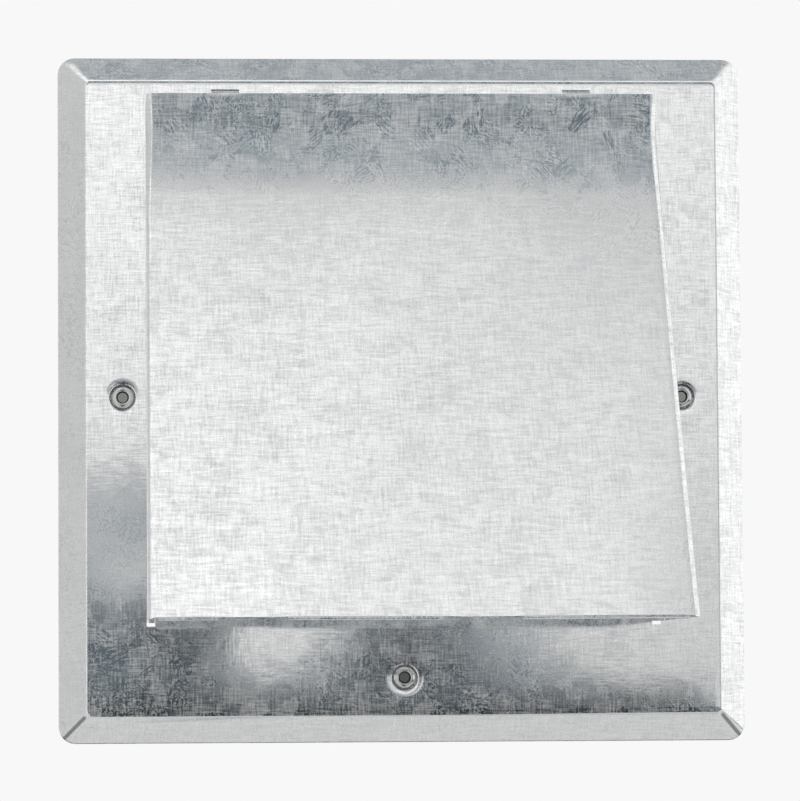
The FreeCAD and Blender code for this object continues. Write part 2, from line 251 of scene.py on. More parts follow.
def zinc_sheet(name, shift, gloss, paint_crease_shade=False):
    """Hot-dip zinc. Part of it mirrors the room and the rest is frosted and pale. The shares differ from
    grain to grain, in fern-like or hatched needles within the grains, and in the fine lines of rolling."""
    material = bpy.data.materials.new(name)
    n = Nodes(material)
    place = n.vector("ADD", n.place(), shift)

    def centred(value):
        return n.vector("SUBTRACT", value, MIDDLE_GREY)

    def jitter(scale, size):
        return n.vector("SCALE", centred(n.noise(place, scale, 3.0, 0.6, colour=True)), size)

    def swing(value, size):
        """A noise around one half, made a change of that size."""
        return n.product(n.math("SUBTRACT", value, 0.5), size)

    def rolled_lines(*scales):
        return n.noise(n.vector("MULTIPLY", place, scales), 1.0, 2.0, 0.6)

    coarse, fine = (jitter(*bend) for bend in GRAIN_BENDS)
    bent = n.vector("ADD", place, n.vector("ADD", coarse, fine))
    cell = n.add("ShaderNodeTexVoronoi", {"Vector": bent, "Scale": GRAIN_SCALE}, feature="F1")
    grain = cell.outputs["Color"]
    grain_gloss, grain_kind, grain_shade = n.add("ShaderNodeSeparateColor", {"Color": grain}).outputs[:3]

    spoke = n.vector("NORMALIZE", n.vector("SUBTRACT", bent, cell.outputs["Position"]))
    fan = n.vector("ADD", n.vector("SCALE", spoke, 6.0), n.vector("SCALE", grain, 20.0))
    fern = n.ramp(n.noise(fan, 1.0, 3.0, 0.6), 0.51, 0.57)
    along = n.vector("NORMALIZE", centred(grain))
    pull = n.product(n.vector("DOT_PRODUCT", place, along), HATCH_STRETCH)
    drawn_out = n.vector("SUBTRACT", place, n.vector("SCALE", along, pull))
    hatch = n.ramp(n.noise(drawn_out, HATCH_SCALE, 2.0, 0.6), 0.50, 0.54)
    needle = n.mix(n.math("GREATER_THAN", grain_kind, 0.45), fern, hatch)
    patch = n.noise(place, PATCH_SCALE, 3.0, 0.6)
    dense = n.ramp(n.math("ADD", n.product(grain_shade, 0.6), n.product(patch, 1.6)), 0.95, 1.35)
    needles = n.product(needle, n.math("ADD", 0.12, n.product(dense, 0.88)))

    level_lines = rolled_lines(LINE_LENGTH, LINE_LENGTH, LINE_WIDTH)
    upright_lines = rolled_lines(LINE_WIDTH, LINE_LENGTH, LINE_LENGTH)
    depth_lines = rolled_lines(LINE_LENGTH, LINE_WIDTH, LINE_LENGTH)

    mirror = n.math("ADD", gloss, n.product(needles, NEEDLE_GLOSS))
    for value, size in ((grain_gloss, 0.26), (patch, 0.35), (level_lines, 1.3)):
        mirror = n.math("ADD", mirror, swing(value, size))
    mirror = n.math("ADD", mirror, swing(upright_lines, 1.2), clamp=True)

    shade = ZINC_SHADE
    for value, size in ((grain_shade, 0.14), (level_lines, 0.6), (upright_lines, 0.5)):
        shade = n.math("ADD", shade, swing(value, size))
    shade = n.math("SUBTRACT", shade, n.product(needles, NEEDLE_SHADE), clamp=True)
    colour = n.mix_colour(shade, ZINC_DARK, ZINC_PALE)
    # Painted shade: the plate's two lower corner creases are darkened in the colour, standing in for the
    # shadow in the fold.
    if paint_crease_shade:
        across, deep, high = n.add("ShaderNodeSeparateXYZ", {"Vector": place}).outputs
        off = n.math("ABSOLUTE", n.math("ADD", n.math("ABSOLUTE", across), high))
        crease_shade = n.product(n.ramp(off, 0.0014, 0.0005), n.ramp(deep, -0.0125, -0.0115),
                           n.ramp(high, -0.10, -0.11))
        colour = n.mix_colour(n.product(crease_shade, 0.75), colour, CREASE_PAINTED_SHADE)

    lines = n.add("ShaderNodeCombineXYZ", {"X": upright_lines, "Y": depth_lines, "Z": level_lines}).outputs[0]
    tilt = n.vector("ADD", n.vector("SCALE", centred(lines), LINE_TILT),
                    n.vector("SCALE", centred(grain), GRAIN_TILT))
    facing = n.add("ShaderNodeNewGeometry").outputs["Normal"]
    n.surface(colour, Metallic=mirror, Roughness=ZINC_ROUGHNESS,
              Normal=n.vector("NORMALIZE", n.vector("ADD", facing, tilt)))
    return material


def ring_move(x, z, radius, y):
    """Puts a vertex on the circle of that radius about (x, z), at depth y."""
    def move(vert):
        out = Vector((vert.co.x - x, 0, vert.co.z - z)).normalized() * radius
        return Vector((x + out.x, y, z + out.z))
    return move


def within_square(x, z, half):
    return lambda co: max(abs(co.x - x), abs(co.z - z)) < half + NEAR


def square_move(half, radius, y, from_half, from_radius):
    """Takes a vertex of one rounded square to the matching place on another."""
    def move(vert):
        run = from_half - from_radius
        over = [max(0.0, abs(v) - run) for v in (vert.co.x, vert.co.z)]
        length = math.hypot(*over) or 1.0
        result = Vector((0, y, 0))
        for axis, part in ((0, over[0]), (2, over[1])):
            value = vert.co[axis]
            if part > 1e-4:
                size = half - radius + radius * part / length
            else:
                size = abs(value) * (half - radius) / run
            result[axis] = math.copysign(size, value)
        return result
    return move


def bend(start, turn_from, turn_to, radius, count):
    """Points of an arc in (outward, y) from start, turning from one heading to another."""
    turns = [turn_from + (turn_to - turn_from) * i / count for i in range(1, count + 1)]
    return [(start[0] + radius * (math.sin(a) - math.sin(turn_from)),
             start[1] + radius * (math.cos(turn_from) - math.cos(a))) for a in turns]


face_edge = FACE_HALF - FACE_BEND * math.tan(RIM_SLANT / 2)
face_edge_corner = FACE_CORNER - 0.42 * (FACE_HALF - face_edge)
inside_corner = face_edge - face_edge_corner

bm = bmesh.new()
signs = ((-1, -1), (1, -1), (1, 1), (-1, 1))
bm.faces.new([bm.verts.new((x * face_edge, FACE_Y, z * face_edge)) for x, z in signs])
bmesh.ops.bevel(bm, geom=bm.verts[:], offset=face_edge_corner, segments=6, profile=0.5, affect="VERTICES",
                material=-1)
middle_lines = [DIMPLE_PATCH * (i / 4 - 1) for i in range(9)]
dimple_lines = [SCREW_CIRCLE + v for v in middle_lines]
shared = dimple_lines + [-v for v in dimple_lines] + middle_lines + [OPENING_PATCH, -OPENING_PATCH]
x_extra = shared + [s * v for s in (-1, 1) for v in TOP_SLOT_X + CHEEK_SLOT_X]
z_extra = shared + list(TOP_SLOT_Z) + list(CHEEK_SLOT_Z)
cut_grid(bm, 0, grid_lines(inside_corner, PLATE_STEP, x_extra) + [-inside_corner, inside_corner])
cut_grid(bm, 2, grid_lines(inside_corner, PLATE_STEP, z_extra) + [-inside_corner, inside_corner])

punched = faces_within(bm, (-OPENING_PATCH, OPENING_PATCH), (-OPENING_PATCH, OPENING_PATCH))
screw_places = [(SCREW_CIRCLE, 0), (0, SCREW_CIRCLE), (-SCREW_CIRCLE, 0), (0, -SCREW_CIRCLE)]
for x, z in screw_places:
    punched += faces_within(bm, (x - DIMPLE_PATCH, x + DIMPLE_PATCH), (z - DIMPLE_PATCH, z + DIMPLE_PATCH))
for side in (-1, 1):
    for slot_x, slot_z in ((TOP_SLOT_X, TOP_SLOT_Z), (CHEEK_SLOT_X, CHEEK_SLOT_Z)):
        low, high = sorted(side * v for v in slot_x)
        punched += faces_within(bm, (low, high), slot_z)
bmesh.ops.delete(bm, geom=list(set(punched)), context="FACES")

loop = open_edges(bm, within_square(0, 0, OPENING_PATCH))
for radius in (OPENING_RADIUS + OPENING_LAND, OPENING_RADIUS):
    loop = extrude_loop(bm, loop, ring_move(0, 0, radius, FACE_Y))

mouth_depth = DIMPLE_SKIRT + DIMPLE_MOUTH_DROP
wall_depth = DIMPLE_DEPTH - DIMPLE_SKIRT - DIMPLE_MOUTH_DROP
dimple_rings = [(DIMPLE_REACH - DIMPLE_SKIRT_RUN * t, DIMPLE_SKIRT * t ** 3)
                for t in (0, 0.2, 0.35, 0.5, 0.65, 0.8, 0.92, 1)]
dimple_rings += [(DIMPLE_MOUTH - (DIMPLE_MOUTH - DIMPLE_FLOOR) * t, mouth_depth + wall_depth * t)
                 for t in (0, 0.3, 0.6, 0.85)]
dimple_rings += [(DIMPLE_FLOOR - 0.1, DIMPLE_DEPTH - 0.05), (DIMPLE_FLOOR - 0.35, DIMPLE_DEPTH),
                 (SCREW_HOLE, DIMPLE_DEPTH)]
for x, z in screw_places:
    loop = open_edges(bm, within_square(x, z, DIMPLE_PATCH))
    for radius, depth in dimple_rings:
        loop = extrude_loop(bm, loop, ring_move(x, z, radius, FACE_Y + depth))

rim = bend((face_edge, FACE_Y), 0, RIM_SLANT, FACE_BEND, 5)
setback = RIM_BEND * math.tan(RIM_SLANT / 2) * math.cos(RIM_SLANT)
slope_top, slope_foot = rim[-1], (RIM_HALF - setback, RIM_Y - setback)
rim += [tuple(a + (b - a) * i / 4 for a, b in zip(slope_top, slope_foot)) for i in range(1, 5)]
rim += bend(slope_foot, RIM_SLANT, 2 * RIM_SLANT, RIM_BEND, 4)
rim += [(RIM_HALF, SKIRT_MIDDLE_Y), (RIM_HALF, 0.0)]

loop = open_edges(bm, lambda co: max(abs(co.x), abs(co.z)) > inside_corner - NEAR)
last = (face_edge, face_edge_corner)
corner_growth = RIM_CORNER - FACE_CORNER
for half, y in rim:
    radius = min(RIM_CORNER, FACE_CORNER + corner_growth * (half - FACE_HALF) / (RIM_HALF - FACE_HALF))
    loop = extrude_loop(bm, loop, square_move(half, radius, y, *last))
    last = (half, radius)


def wave(place, height, length, phase):
    return height * math.sin(place / length + phase)


# The flat face isn't quite flat, and the press leaves a shallow crease down the two lower corners.
for vert in bm.verts:
    x, _, z = vert.co
    inward = face_edge - max(abs(x), abs(z))
    if inward > 0:
        vert.co.y += (wave(x, *WAVE_ACROSS) + wave(z, *WAVE_UP)) * min(1.0, inward / WAVE_FADE)
    elif z < 0 and abs(abs(x) - abs(z)) < CREASE_NEAR and abs(x) < CREASE_END:
        shift_in, shift_back, shift_up = CREASE_SHIFT
        vert.co += Vector((-math.copysign(shift_in, x), shift_back, shift_up))
bmesh.ops.recalc_face_normals(bm, faces=bm.faces)
if next(f for f in bm.faces if abs(f.normal.y) > 0.99).normal.y > 0:
    bmesh.ops.reverse_faces(bm, faces=bm.faces)
# The plate's zinc has painted shade along its two lower corner creases.
plate_zinc = zinc_sheet("plate zinc", (0.0, 0.0, 0.0), 0.68, paint_crease_shade=True)
finish_piece(bm, "plate_sheet", "plate", plate_zinc, ["face_plate"], SHEET)

# Hood. One sheet of the same zinc: a lip that lies on the plate, a gentle curve out from the wall, a flat
# slope, and a cheek folded back on either side, with a hem at the foot. It hangs and swings on two tabs that
# hook through the plate's slots at the top, and a tab at the foot of each cheek keeps it from shifting.

HOOD_HALF = 93.0
HOOD_TOP = 110.5
HOOD_FOOT = -81.5
LIP_Y = -13.85
LIP_END = 106.5
REAR_Y = -13.15
BEND_END = 72.0
FRONT_Y = -113.0
HOOD_TURNS = ((111.0, 4.5), (106.5, 4.7), (103.0, 7.0), (100.0, 10.0), (95.0, 16.0), (90.0, 20.8),
              (85.0, 24.2), (80.0, 26.3), (72.0, 27.6), (60.0, 28.3), (0.0, 30.2), (-82.0, 33.2))
BEND_ROWS = 32
SLOPE_ROWS = 22
FOOT_MARGIN = 6.0
FOLD_TOP = 3.0
FOLD_LOW = 1.8
FOLD_EASE = 45.0
FOLD_PARTS = [turn / 90 for turn in (0, 3, 12, 26, 42, 58, 73, 85, 90)]
CHEEK_END_Y = -6.0
CHEEK_PARTS = (0.01, 0.33, 0.66, 1.0)
HOOD_STEP = 6.5
BELLY_ACROSS = (0.10, 24, 0.8)
BELLY_DOWN = (1.0, 33, 1.0)
BELLY_TOP_ROWS = 24
BELLY_MARGIN = 20
LIP_CORNER_SLOPE = 8.0
HEM_HALF = 90.3
HEM_RADIUS = 0.75
HEM_HEIGHT = 8.0
HEM_REACH = 5
TAB_MIDDLE = 64.0
TAB_HALF = 5.1
TAB_TOP = 111.38
HOOK_Y = -11.9
HOOK_TOP = 113.98
CHEEK_TAB_TOP = -72.1
CHEEK_FOOT_Y = -11.2
CHEEK_FOOT_X = 90.1


def turn_at(height):
    """The sheet's turn from the upright in degrees: quick in the bend, then slowly more down the slope."""
    for (z1, t1), (z2, t2) in zip(HOOD_TURNS, HOOD_TURNS[1:]):
        if height >= z2:
            return t1 + (t2 - t1) * (z1 - height) / (z1 - z2)
    return HOOD_TURNS[-1][1]


def side_outline():
    """Points of the hood's side outline from the top down, and the way each faces."""
    low = HOOD_FOOT + FOOT_MARGIN
    heights = [HOOD_TOP, HOOD_TOP - 2.0, LIP_END]
    heights += [LIP_END + (BEND_END - LIP_END) * i / BEND_ROWS for i in range(1, BEND_ROWS + 1)]
    heights += [BEND_END + (low - BEND_END) * i / SLOPE_ROWS for i in range(1, SLOPE_ROWS + 1)]
    run = [0.0]
    for above, below in zip(heights, heights[1:]):
        run.append(run[-1] + math.tan(math.radians(turn_at((above + below) / 2))) * (above - below))
    rest = math.tan(math.radians(turn_at((low + HOOD_FOOT) / 2))) * (low - HOOD_FOOT)
    fit = (LIP_Y - FRONT_Y) / (run[-1] + rest)
    points = []
    for height, out in zip(heights, run):
        turn = math.atan(math.tan(math.radians(turn_at(height))) * fit)
        points.append((Vector((0, LIP_Y - out * fit, height)), Vector((0, -math.cos(turn), math.sin(turn)))))
    return points


outline = side_outline()
foot_point, slope_facing = outline[-1]
down = Vector((0, -slope_facing.z, slope_facing.y))
hem_start = HOOD_FOOT + HEM_RADIUS * (1 - slope_facing.z) + 0.02
for height in (hem_start + 0.3, hem_start, HOOD_FOOT):
    outline.append((foot_point + down * (foot_point.z - height) / -down.z, slope_facing))

bm = bmesh.new()
row_of = bm.verts.layers.int.new("row")
chain = []
for row, (point, _) in enumerate(outline):
    vert = bm.verts.new(point)
    vert[row_of] = row
    chain.append(vert)
loop = [bm.edges.new(pair) for pair in zip(chain, chain[1:])]


def fold_at(row):
    """How far in from the side the fold starts, its radius and its whole turn. It is tighter where the cheek
    is deep, and at the lip it only curls back to the plate."""
    low = min(1.0, max(0.0, (LIP_END - outline[row][0].z) / FOLD_EASE))
    reach = FOLD_TOP + (FOLD_LOW - FOLD_TOP) * low * low * (3 - 2 * low)
    depth = min(reach, REAR_Y - outline[row][0].y + 0.02)
    whole = 2 * math.atan(depth / reach)
    return reach, reach / math.sin(whole), whole


def cheek_move(side, back):
    """A station on the cheek: back is 0 at the fold and 1 behind the plate's face."""
    def move(vert):
        point, facing = outline[vert[row_of]]
        _, radius, whole = fold_at(vert[row_of])
        edge = point - facing * radius * (1 - math.cos(whole))
        return Vector((side * HOOD_HALF, edge.y + (CHEEK_END_Y - edge.y) * back, edge.z))
    return move


def fold_move(side, turn):
    """A station on the fold: turn is 0 at the front and 1 at the cheek."""
    def move(vert):
        point, facing = outline[vert[row_of]]
        reach, radius, whole = fold_at(vert[row_of])
        across = side * (HOOD_HALF - reach + radius * math.sin(whole * turn))
        return point - facing * radius * (1 - math.cos(whole * turn)) + Vector((across, 0, 0))
    return move


def front_move(x):
    """A station on the front, which bellies by a tenth of a millimetre and is held flat at top and sides."""
    def move(vert):
        row = vert[row_of]
        point, facing = outline[row]
        hold = min(1.0, row / BELLY_TOP_ROWS) * min(1.0, (HOOD_HALF - FOLD_TOP - abs(x)) / BELLY_MARGIN)
        belly = wave(x, *BELLY_ACROSS) * wave(point.z, *BELLY_DOWN) * hold
        return point + facing * belly + Vector((x, 0, 0))
    return move


tab_edges = [s * (TAB_MIDDLE + v) for s in (-1, 1) for v in (-TAB_HALF, TAB_HALF)]
columns = grid_lines(HOOD_HALF - FOLD_TOP, HOOD_STEP, tab_edges + [HEM_HALF - 1.0, 1.0 - HEM_HALF])
stations = [cheek_move(-1, back) for back in reversed(CHEEK_PARTS)]
stations += [fold_move(-1, turn) for turn in reversed(FOLD_PARTS)]
stations += [front_move(x) for x in columns]
stations += [fold_move(1, turn) for turn in FOLD_PARTS]
stations += [cheek_move(1, back) for back in CHEEK_PARTS]
for vert in chain:
    vert.co = stations[0](vert)
for station in stations[1:]:
    loop = extrude_loop(bm, loop, station)


def trim(bm, point, normal):
    """Cut by a plane and throw away what is on the normal's side."""
    bmesh.ops.bisect_plane(bm, geom=bm.verts[:] + bm.edges[:] + bm.faces[:], dist=1e-5, plane_co=point,
                           plane_no=normal, clear_outer=True)


def on_hem_line(co):
    return abs(co.z - hem_start) < 0.05 and abs(co.x) < HEM_HALF + NEAR and co.y < FRONT_Y + HEM_REACH


def is_foot_strip(centre):
    return centre.z < hem_start and abs(centre.x) < HEM_HALF and centre.y < FRONT_Y + HEM_REACH


trim(bm, (0, REAR_Y, 0), (0, 1, 0))
trim(bm, (0, 0, HOOD_FOOT), (0, 0, -1))
cut_grid(bm, 2, [CHEEK_TAB_TOP])
for side in (-1, 1):
    trim(bm, (side * HOOD_HALF, 0, LIP_END), Vector((side * LIP_CORNER_SLOPE, 0, 1)).normalized())

foot_strip = [f for f in bm.faces if is_foot_strip(f.calc_center_median())]
bmesh.ops.delete(bm, geom=foot_strip, context="FACES")
loop = open_edges(bm, on_hem_line)
hem_turns = [math.pi * i / 8 for i in range(1, 9)]
hem_path = [HEM_RADIUS * ((math.cos(turn) - 1) * slope_facing + math.sin(turn) * down) for turn in hem_turns]
hem_path += [hem_path[-1] - down * HEM_HEIGHT * t for t in (0.05, 0.5, 1.0)]
done = Vector((0, 0, 0))
for place in hem_path:
    step = place - done
    loop = extrude_loop(bm, loop, lambda vert: vert.co + step)
    done = place

top_tab = ((None, HOOD_TOP + 0.03), (None, TAB_TOP - 0.3), (-13.7, TAB_TOP - 0.08), (-13.45, TAB_TOP),
           (HOOK_Y - 0.15, TAB_TOP), (HOOK_Y - 0.03, TAB_TOP + 0.06), (HOOK_Y, TAB_TOP + 0.2),
           (HOOK_Y, HOOK_TOP))
cheek_tab = ((HOOD_HALF, CHEEK_FOOT_Y - 0.7), (HOOD_HALF - 0.2, CHEEK_FOOT_Y - 0.2),
             (HOOD_HALF - 0.7, CHEEK_FOOT_Y), (CHEEK_FOOT_X, CHEEK_FOOT_Y))
for side in (-1, 1):
    loop = open_edges(bm, lambda co: abs(co.z - HOOD_TOP) < NEAR
                      and abs(side * co.x - TAB_MIDDLE) < TAB_HALF + NEAR)
    for y, z in top_tab:
        loop = extrude_loop(bm, loop, lambda vert: Vector((vert.co.x, vert.co.y if y is None else y, z)))
    loop = open_edges(bm, lambda co: abs(co.y - REAR_Y) < NEAR and side * co.x > HOOD_HALF - 0.01
                      and co.z < CHEEK_TAB_TOP + NEAR)
    for x, y in cheek_tab:
        loop = extrude_loop(bm, loop, lambda vert: Vector((side * x, y, vert.co.z)))

bmesh.ops.recalc_face_normals(bm, faces=bm.faces)
middle = min(bm.faces, key=lambda f: (f.calc_center_median() - Vector((0, -60, 0))).length)
if middle.normal.y > 0:
    bmesh.ops.reverse_faces(bm, faces=bm.faces)
hood_zinc = zinc_sheet("hood zinc", (0.37, 0.11, 0.53), 0.52)
finish_piece(bm, "hood_sheet", "hood", hood_zinc, ["hood"], SHEET)

# Duct collar. A strip of thinner zinc sheet rolled into a tube for the 160 mm duct, with its front edge
# turned out into a lip and a bead rolled round it that stops the duct. The clamp ring holds it by the lip.

COLLAR_SHEET = 0.6
COLLAR_RADIUS = 79.5
COLLAR_LIP = 82.2
COLLAR_LIP_Y = -10.3
COLLAR_END = 50.0
BEAD_Y = 2.0
BEAD_HALF = 1.5
BEAD_HEIGHT = 1.2
SHEET_RING_STEPS = 160


def spin_profile(bm, profile, steps, x=0.0, z=0.0, closed=True):
    """Spin (radius, y) points about an axis along Y. A closed profile makes a ring."""
    made = [bm.verts.new((x + radius, y, z)) for radius, y in profile]
    edges = [bm.edges.new(pair) for pair in zip(made, made[1:])]
    if closed:
        edges.append(bm.edges.new((made[-1], made[0])))
    before = set(bm.verts) - set(made)
    bmesh.ops.spin(bm, geom=made + edges, cent=(x, 0, z), axis=(0, 1, 0), angle=2 * math.pi, steps=steps,
                   use_merge=True)
    fresh = [v for v in bm.verts if v not in before]
    bmesh.ops.remove_doubles(bm, verts=fresh, dist=1e-4)


def offset_profile(points, thickness):
    """A closed outline round a thin sheet whose outer side runs through the points."""
    inner = []
    for i, point in enumerate(points):
        a, b = Vector(points[max(i - 1, 0)]), Vector(points[min(i + 1, len(points) - 1)])
        along = (b - a).normalized()
        inner.append((point[0] - along.y * thickness, point[1] + along.x * thickness))
    return list(points) + inner[::-1]


bm = bmesh.new()
lip_back = COLLAR_LIP_Y + COLLAR_SHEET
outer = [(COLLAR_LIP, lip_back), (COLLAR_RADIUS + 0.7, lip_back), (COLLAR_RADIUS + 0.2, lip_back + 0.2),
         (COLLAR_RADIUS, lip_back + 0.7)]
outer += [(COLLAR_RADIUS + BEAD_HEIGHT * (0.5 + 0.5 * math.cos(math.pi * t)), BEAD_Y + BEAD_HALF * t)
          for t in (-1, -0.75, -0.5, -0.25, 0, 0.25, 0.5, 0.75, 1)]
outer += [(COLLAR_RADIUS, COLLAR_END - 0.1), (COLLAR_RADIUS - 0.1, COLLAR_END)]
spin_profile(bm, offset_profile(outer, COLLAR_SHEET), SHEET_RING_STEPS)
bmesh.ops.recalc_face_normals(bm, faces=bm.faces)
collar_zinc = zinc_sheet("collar zinc", (0.71, 0.29, 0.17), 0.58)
finish_piece(bm, "collar_tube", "plate", collar_zinc, ["duct_collar"])

# Clamp ring. A flat ring of the same thin sheet with one pressed step: its land lies on the plate's back, and
# the step grips the mesh and the collar's lip. Four blind rivets through plate and land hold it.

RING_RADIUS = 93.5
RING_BORE = 80.0
RING_STEP = 83.2
RING_LAND_Y = -12.3
RING_SEAT_Y = -9.7

bm = bmesh.new()
land_back = RING_LAND_Y + COLLAR_SHEET
seat_back = RING_SEAT_Y + COLLAR_SHEET
outer = [(RING_RADIUS, land_back), (RING_STEP + 0.6, land_back), (RING_STEP + 0.15, land_back + 0.2),
         (RING_STEP, land_back + 0.6), (RING_STEP, seat_back - 0.6), (RING_STEP - 0.2, seat_back - 0.15),
         (RING_STEP - 0.7, seat_back), (RING_BORE, seat_back)]
inner = [(RING_BORE, RING_SEAT_Y), (RING_STEP - 0.8, RING_SEAT_Y), (RING_STEP - 0.62, RING_SEAT_Y - 0.1),
         (RING_STEP - 0.6, RING_SEAT_Y - 0.4), (RING_STEP - 0.6, RING_LAND_Y), (RING_RADIUS, RING_LAND_Y)]
spin_profile(bm, outer + inner, SHEET_RING_STEPS)
bmesh.ops.recalc_face_normals(bm, faces=bm.faces)
ring_zinc = zinc_sheet("ring zinc", (0.19, 0.83, 0.41), 0.58)
finish_piece(bm, "clamp_ring_sheet", "plate", ring_zinc, ["clamp_ring"])

# Blind rivets. Four aluminium rivets with domed heads on the plate's face, under the hood, and the bulb that
# the pulling pin forms behind the clamp ring.

RIVET_CIRCLE = 88.35
RIVET_PROFILE = ((0.95, -8.1), (0.95, -13.75), (1.25, -14.08), (1.8, -14.1), (2.5, -13.85), (3.0, -13.45),
                 (3.25, -13.1), (3.2, -13.0), (1.6, -13.0), (1.6, -11.7), (2.1, -11.6), (2.4, -11.0),
                 (2.35, -9.9), (1.9, -8.9), (1.7, -8.3), (1.3, -8.1))
RIVET_STEPS = 32


def plain_metal(name, dark, light, rough, grain_scale, bump_strength, painted_shade=None):
    """A metal whose colour and roughness vary with fine noise. A painted shade, if given, changes the colour
    by place.
    """
    material = bpy.data.materials.new(name)
    n = Nodes(material)
    place = n.place()
    cloud = n.noise(place, grain_scale, 4.0, 0.65)
    fine = n.noise(place, grain_scale * 9, 2.0, 0.6)
    colour = n.mix_colour(cloud, dark, light)
    if painted_shade:
        colour = painted_shade(n, place, colour)
    roughness = n.math("ADD", rough, n.product(n.math("SUBTRACT", fine, 0.5), 0.25))
    bump = n.add("ShaderNodeBump", {"Strength": bump_strength, "Distance": 0.0001, "Height": fine})
    n.surface(colour, Metallic=1.0, Roughness=roughness, Normal=bump.outputs[0])
    return material


rivet_angles = [math.radians(45 + 90 * i) for i in range(4)]
rivet_places = [(RIVET_CIRCLE * math.cos(a), RIVET_CIRCLE * math.sin(a)) for a in rivet_angles]
bm = bmesh.new()
for x, z in rivet_places:
    spin_profile(bm, RIVET_PROFILE, RIVET_STEPS, x, z)
bmesh.ops.recalc_face_normals(bm, faces=bm.faces)
rivet_aluminium = plain_metal("rivet aluminium", (0.66, 0.66, 0.67, 1), (0.84, 0.84, 0.85, 1), 0.38, 400.0,
                              0.3)
finish_piece(bm, "blind_rivets", "plate", rivet_aluminium, ["collar_rivets"])

# Pulling pins. The steel stub that stays in each set rivet: broken off below the head in front, and its own
# head drawn up against the bulb behind.

PIN_PROFILE = ((0, -12.5), (0.55, -12.45), (0.8, -12.62), (0.95, -12.5), (0.95, -8.15), (1.45, -8.1),
               (1.5, -7.7), (1.3, -7.1), (0.9, -6.8), (0, -6.7))
PIN_STEPS = 24

bm = bmesh.new()
for x, z in rivet_places:
    spin_profile(bm, PIN_PROFILE, PIN_STEPS, x, z, closed=False)
bmesh.ops.recalc_face_normals(bm, faces=bm.faces)
pin_steel = plain_metal("pin steel", (0.30, 0.30, 0.31, 1), (0.52, 0.51, 0.50, 1), 0.42, 500.0, 0.3)
finish_piece(bm, "rivet_pins", "plate", pin_steel, ["rivet_mandrels"])

# Bird mesh. Two layers of 1 mm galvanised wire on a 12.7 mm pitch, cut round, and spot-welded where they
# cross. The clamp ring's step presses its rim against the plate.

WIRE_RADIUS = 0.5
WIRE_PITCH = 12.7
WIRE_SEGMENTS = 16
MESH_RADIUS = 82.0
UPRIGHT_Y = -11.8
ACROSS_Y = -10.8
NUGGET_RADIUS = 0.62
NUGGET_MARGIN = 1.5

wire_zinc = plain_metal("wire zinc", (0.50, 0.52, 0.54, 1), (0.74, 0.75, 0.76, 1), 0.5, 260.0, 0.4)
wire_offsets = [(i + 0.5) * WIRE_PITCH for i in range(-6, 6)]
for upright, name, node, y in ((True, "mesh_upright", "mesh_wires_upright", UPRIGHT_Y),
                               (False, "mesh_across", "mesh_wires_across", ACROSS_Y)):
    bm = bmesh.new()
    for offset in wire_offsets:
        length = 2 * math.sqrt(MESH_RADIUS ** 2 - (abs(offset) + WIRE_RADIUS) ** 2)
        if upright:
            place = Matrix.Translation((offset, y, 0))
        else:
            place = Matrix.Translation((0, y, offset)) @ Matrix.Rotation(math.pi / 2, 4, "Y")
        bmesh.ops.create_cone(bm, cap_ends=True, segments=WIRE_SEGMENTS, radius1=WIRE_RADIUS,
                              radius2=WIRE_RADIUS, depth=length, matrix=place)
    if upright:
        crossings = [(x, z) for x in wire_offsets for z in wire_offsets
                     if math.hypot(x, z) < MESH_RADIUS - NUGGET_MARGIN]
        for x, z in crossings:
            place = Matrix.Translation((x, (UPRIGHT_Y + ACROSS_Y) / 2, z)) @ Matrix.Diagonal((1, 0.5, 1, 1))
            bmesh.ops.create_icosphere(bm, subdivisions=1, radius=NUGGET_RADIUS, matrix=place)
    finish_piece(bm, name, "plate", wire_zinc, [node])

# Wall seal. A ring cut from closed-cell foam, glued to the back of the clamp ring, which the screws press
# against the wall. The rivets' bulbs sink into it.

SEAL_PROFILE = ((84.2, -11.65), (92.6, -11.7), (93.0, -11.3), (92.85, -6.0), (93.0, -0.4), (92.6, 0.0),
                (84.2, 0.0), (83.75, -0.4), (83.95, -6.0), (83.75, -11.3))
SEAL_STEPS = 128
FOAM_DARK = (0.045, 0.045, 0.05, 1)
FOAM_PALE = (0.085, 0.085, 0.09, 1)

bm = bmesh.new()
spin_profile(bm, SEAL_PROFILE, SEAL_STEPS)
bmesh.ops.recalc_face_normals(bm, faces=bm.faces)
foam = bpy.data.materials.new("seal foam")
n = Nodes(foam)
place = n.place()
cells = n.add("ShaderNodeTexVoronoi", {"Vector": place, "Scale": 1500.0}, feature="F1").outputs["Distance"]
bump = n.add("ShaderNodeBump", {"Strength": 0.6, "Distance": 0.0003, "Height": cells})
n.surface(n.mix_colour(n.noise(place, 120.0, 3.0), FOAM_DARK, FOAM_PALE), Roughness=0.9,
          Normal=bump.outputs[0])
finish_piece(bm, "foam_ring", "plate", foam, ["wall_seal"])

# Fixing screws. Bright zinc-plated steel wall screws with a low round head and a socket, one in each dimple.
# The neck under the head carries the retainer, and a coarse thread runs down to the point.

